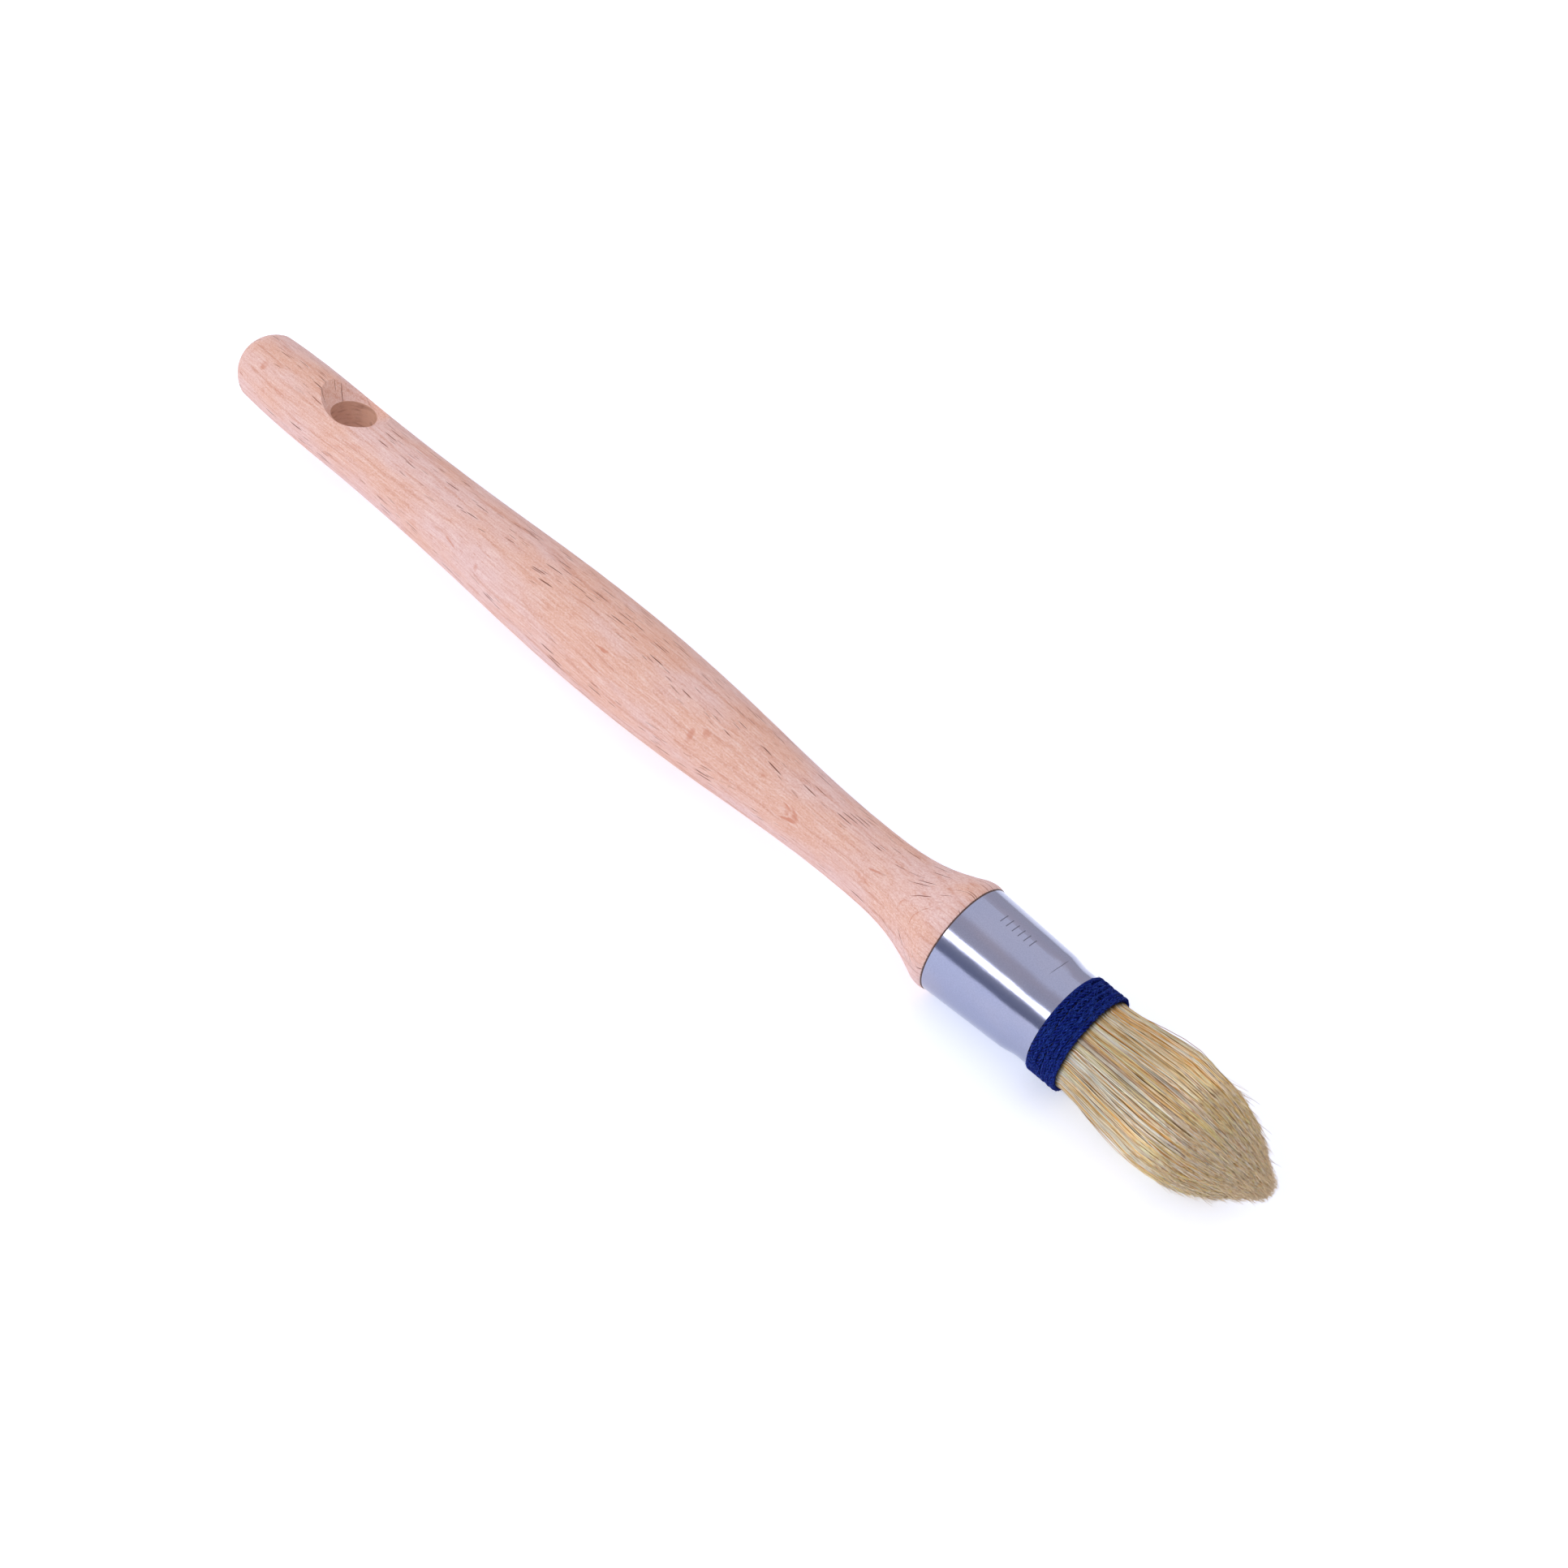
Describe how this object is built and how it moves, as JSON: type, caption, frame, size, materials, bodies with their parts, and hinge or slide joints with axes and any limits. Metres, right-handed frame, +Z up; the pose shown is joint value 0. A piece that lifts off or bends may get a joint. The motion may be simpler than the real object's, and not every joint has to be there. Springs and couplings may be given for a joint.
{
  "type": "round stencil brush",
  "caption": "Round stencil brush with a turned beech handle and hanging hole, a steel ferrule, twine whipping and a blunt bullet-shaped natural bristle bundle.",
  "frame": {"origin": "centre of the bounding box at its base: the brush lies on Z = 0 and the origin is half way along it", "axes": "+X along the brush from the handle to the bristle tip, +Z up along the hanging hole, +Y across the brush"},
  "size_m": [0.26, 0.0218, 0.0218],
  "materials": {
    "beech": "matte",
    "ferrule_steel": "polished",
    "bristle": "matte",
    "navy_twine": "matte",
    "epoxy": "gloss",
    "wood_glue": "matte"
  },
  "bodies": {
    "root": {"handle": "beech", "ferrule": "ferrule_steel", "spigot_glue": "wood_glue", "setting_resin": "epoxy", "bristle_tuft": "bristle", "twine_whipping": "navy_twine"}
  },
  "joints": []
}
